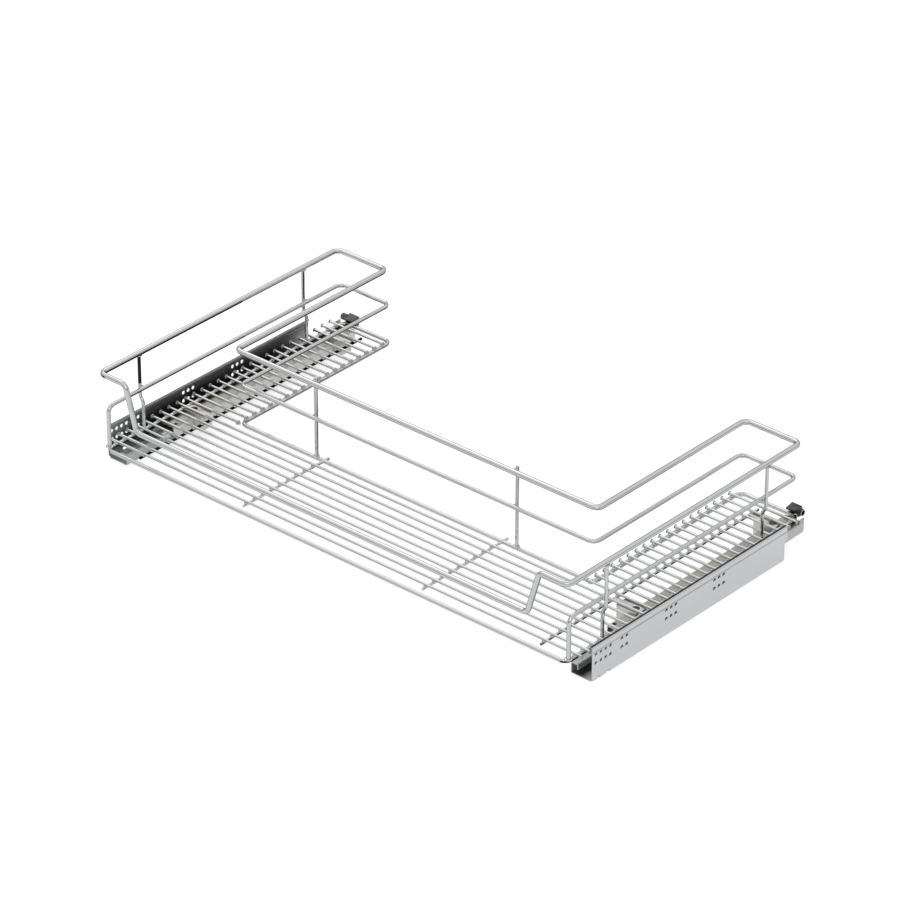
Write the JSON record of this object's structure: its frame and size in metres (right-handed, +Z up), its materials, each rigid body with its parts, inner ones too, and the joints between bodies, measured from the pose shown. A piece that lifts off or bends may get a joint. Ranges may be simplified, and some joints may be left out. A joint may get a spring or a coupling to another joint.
{
  "type": "pull-out basket drawer",
  "caption": "U-shaped chromed wire basket on a pair of full-extension undermount runners, notched at the back so that it clears the waste pipes under a sink.",
  "frame": {"origin": "on the plane of the runners' undersides, under the middle of the whole part's bounding box", "axes": "+X across the cabinet to the right as seen from the front, +Y from the front to the back, +Z up"},
  "size_m": [0.864, 0.4996, 0.1572],
  "materials": {
    "rail_chrome": "bright chrome plating on 8 mm steel wire",
    "wire_chrome": "bright chrome plating on steel wire",
    "bracket_steel": "zinc plated sheet steel",
    "screw_steel": "zinc plated steel",
    "cabinet_steel": "galvanised sheet steel",
    "middle_steel": "galvanised sheet steel",
    "drawer_steel": "galvanised sheet steel",
    "roller_steel": "ground steel",
    "cage_plastic": "natural acetal",
    "black_plastic": "moulded black plastic"
  },
  "bodies": {
    "cabinet_runners": {"cabinet_profile_left": "cabinet_steel", "cabinet_profile_right": "cabinet_steel", "rear_stop_left": "black_plastic", "rear_stop_right": "black_plastic"},
    "drawer": {"top_rail": "rail_chrome", "middle_rail": "wire_chrome", "bottom_frame": "wire_chrome", "floor_wires_front": "wire_chrome", "floor_wires_left": "wire_chrome", "floor_wires_right": "wire_chrome", "cross_wires_middle": "wire_chrome", "cross_wires_wings": "wire_chrome", "outer_posts_left": "wire_chrome", "outer_posts_right": "wire_chrome", "inner_posts": "wire_chrome", "front_bracket_left": "bracket_steel", "front_bracket_right": "bracket_steel", "rear_bracket_left": "bracket_steel", "rear_bracket_right": "bracket_steel", "bracket_screws_left": "screw_steel", "bracket_screws_right": "screw_steel", "rear_saddle_left": "bracket_steel", "rear_saddle_right": "bracket_steel", "rear_clip_left": "black_plastic", "rear_clip_right": "black_plastic", "drawer_profile_left": "drawer_steel", "drawer_profile_right": "drawer_steel"},
    "middle_left": {"middle_profile_left": "middle_steel"},
    "lower_cage_left": {"lower_cage_left": "cage_plastic", "lower_rollers_left": "roller_steel"},
    "upper_cage_left": {"upper_cage_left": "cage_plastic", "upper_rollers_left": "roller_steel"},
    "middle_right": {"middle_profile_right": "middle_steel"},
    "lower_cage_right": {"lower_cage_right": "cage_plastic", "lower_rollers_right": "roller_steel"},
    "upper_cage_right": {"upper_cage_right": "cage_plastic", "upper_rollers_right": "roller_steel"}
  },
  "joints": [
    {"name": "drawer_slide", "type": "slide", "parent": "cabinet_runners", "child": "drawer", "axis": [0, -1, 0], "range_m": [0, 0.45]},
    {"name": "middle_left_slide", "type": "slide", "parent": "cabinet_runners", "child": "middle_left", "axis": [0, -1, 0], "range_m": [0, 0.225]},
    {"name": "lower_cage_left_slide", "type": "slide", "parent": "cabinet_runners", "child": "lower_cage_left", "axis": [0, -1, 0], "range_m": [0, 0.1125]},
    {"name": "upper_cage_left_slide", "type": "slide", "parent": "cabinet_runners", "child": "upper_cage_left", "axis": [0, -1, 0], "range_m": [0, 0.3375]},
    {"name": "middle_right_slide", "type": "slide", "parent": "cabinet_runners", "child": "middle_right", "axis": [0, -1, 0], "range_m": [0, 0.225]},
    {"name": "lower_cage_right_slide", "type": "slide", "parent": "cabinet_runners", "child": "lower_cage_right", "axis": [0, -1, 0], "range_m": [0, 0.1125]},
    {"name": "upper_cage_right_slide", "type": "slide", "parent": "cabinet_runners", "child": "upper_cage_right", "axis": [0, -1, 0], "range_m": [0, 0.3375]}
  ],
  "couplings": [
    {"joint": "middle_left_slide", "follows": "drawer_slide", "ratio": 0.5},
    {"joint": "lower_cage_left_slide", "follows": "drawer_slide", "ratio": 0.25},
    {"joint": "upper_cage_left_slide", "follows": "drawer_slide", "ratio": 0.75},
    {"joint": "middle_right_slide", "follows": "drawer_slide", "ratio": 0.5},
    {"joint": "lower_cage_right_slide", "follows": "drawer_slide", "ratio": 0.25},
    {"joint": "upper_cage_right_slide", "follows": "drawer_slide", "ratio": 0.75}
  ]
}
